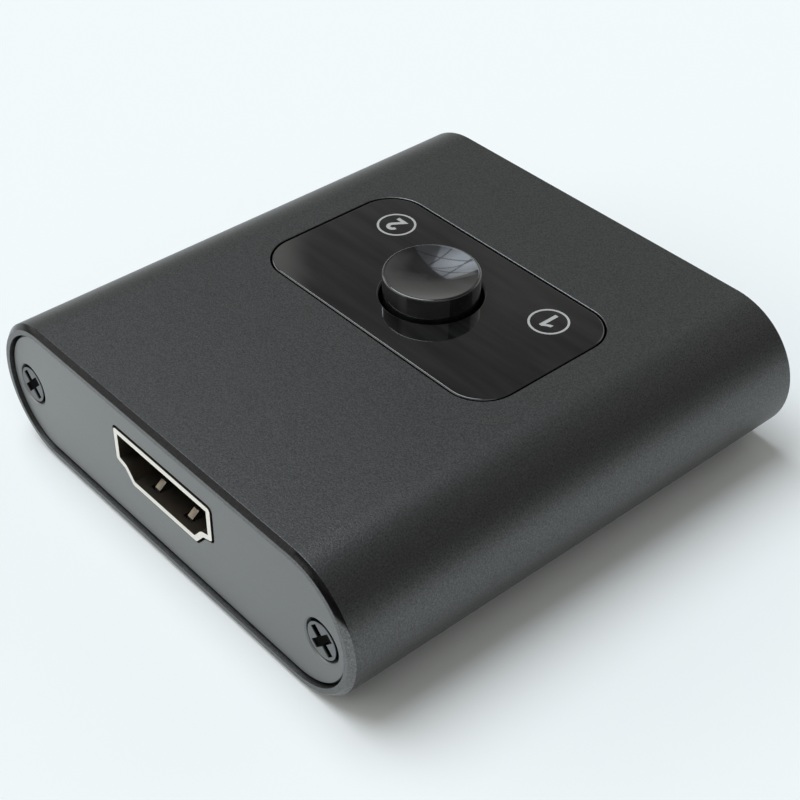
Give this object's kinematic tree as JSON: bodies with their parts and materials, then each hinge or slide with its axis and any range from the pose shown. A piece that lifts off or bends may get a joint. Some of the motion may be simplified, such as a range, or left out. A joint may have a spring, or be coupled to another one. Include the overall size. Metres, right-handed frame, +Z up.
{
  "type": "hdmi switch box",
  "caption": "Flat two-way video switch box with round sides: anodised sleeve, screwed end plates, video sockets at both ends and a push button in a gloss black inlay.",
  "frame": {"origin": "bottom centre of the box, on the surface that it lies on", "axes": "+X across the end plates, +Y from the single-socket plate to the two-socket plate, +Z up"},
  "size_m": [0.056, 0.058, 0.0185],
  "materials": {
    "sleeve_aluminium": "sand-blasted, anodised dark grey",
    "plate_aluminium": "fine satin, anodised grey",
    "screw_steel": "blackened steel",
    "gloss_black": "polished black",
    "tape": "black double-sided tape",
    "board": "black solder mask",
    "socket_nickel": "nickel-plated sheet",
    "socket_black": "moulded black",
    "contact_gold": "gold flash",
    "switch_black": "moulded black",
    "switch_steel": "bright steel",
    "tinned": "tinned brass",
    "plunger_white": "white slide grade",
    "led": "white body, clear lens",
    "foam": "black foam",
    "chip_black": "moulded black",
    "ceramic": "tan ceramic"
  },
  "bodies": {
    "housing": {"housing_tube": "sleeve_aluminium", "front_plate": "plate_aluminium", "rear_plate": "plate_aluminium", "front_screws": "screw_steel", "rear_screws": "screw_steel", "top_inlay": "gloss_black", "inlay_tape": "tape", "circuit_board": "board", "front_port_shell": "socket_nickel", "rear_port_1_shell": "socket_nickel", "rear_port_2_shell": "socket_nickel", "front_port_insulator": "socket_black", "rear_port_1_insulator": "socket_black", "rear_port_2_insulator": "socket_black", "front_port_contacts": "contact_gold", "rear_port_1_contacts": "contact_gold", "rear_port_2_contacts": "contact_gold", "switch_base": "switch_black", "switch_cover": "switch_steel", "switch_spring": "switch_steel", "switch_terminals": "tinned", "indicator_leds": "led", "light_shades": "foam", "switch_chip": "chip_black", "guard_chips": "chip_black", "resistors": "chip_black", "capacitors": "ceramic"},
    "button": {"button_cap": "gloss_black", "switch_plunger": "plunger_white"}
  },
  "joints": [
    {"name": "button_press", "type": "slide", "parent": "housing", "child": "button", "axis": [0, 0, -1], "range_m": [0, 0.0015], "stiffness_N_per_m": 700, "springref_m": -0.001, "deforming": ["switch_spring"]}
  ]
}
